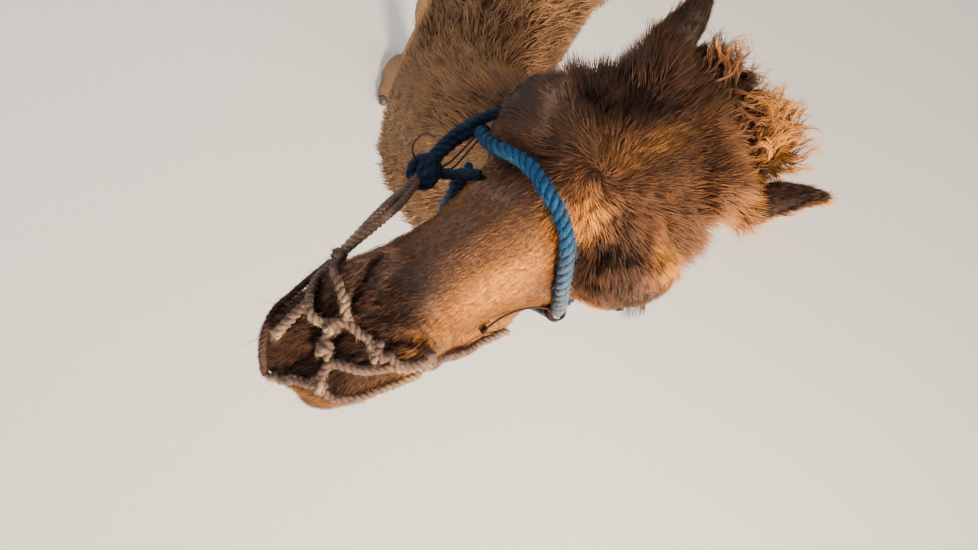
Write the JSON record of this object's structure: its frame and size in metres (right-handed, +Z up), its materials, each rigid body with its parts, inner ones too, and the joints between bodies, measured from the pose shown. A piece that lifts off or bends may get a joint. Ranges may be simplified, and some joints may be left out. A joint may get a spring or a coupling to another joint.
{
  "type": "dromedary camel",
  "caption": "Standing dromedary camel with its neck raised, its head turned to its right and a rope halter on its muzzle and cheeks.",
  "frame": {"origin": "on the floor below the middle of the whole camel's box", "axes": "+Y from the muzzle's end towards the tail, +X to the camel's left, +Z up"},
  "size_m": [0.5854, 2.5938, 2.0707],
  "materials": {
    "coat": "brown woolly fur, darker on the head, lighter on the belly",
    "eye": "wet, glossy, dark brown",
    "nail": "dull dark horn",
    "blue_rope": "twisted blue rope, worn and fuzzy",
    "tan_rope": "knotted pale tan rope, worn and fuzzy",
    "dark_cord": "thin dark braided cord"
  },
  "bodies": {
    "root": {"head": "coat", "neck": "coat", "trunk": "coat", "hump": "coat", "tail": "coat", "fore_leg_left": "coat", "fore_foot_left": "coat", "fore_leg_right": "coat", "fore_foot_right": "coat", "hind_leg_left": "coat", "hind_foot_left": "coat", "hind_leg_right": "coat", "hind_foot_right": "coat", "ear_left": "coat", "ear_right": "coat", "eye_left": "eye", "eye_right": "eye", "fore_nail_left_inner": "nail", "fore_nail_left_outer": "nail", "fore_nail_right_inner": "nail", "fore_nail_right_outer": "nail", "hind_nail_left_inner": "nail", "hind_nail_left_outer": "nail", "hind_nail_right_inner": "nail", "hind_nail_right_outer": "nail", "halter_noseband": "blue_rope", "halter_jaw_rope": "blue_rope", "halter_knot": "blue_rope", "halter_headstall": "blue_rope", "halter_net": "tan_rope", "halter_lip_cord": "dark_cord", "halter_thin_cord": "dark_cord"}
  },
  "joints": []
}
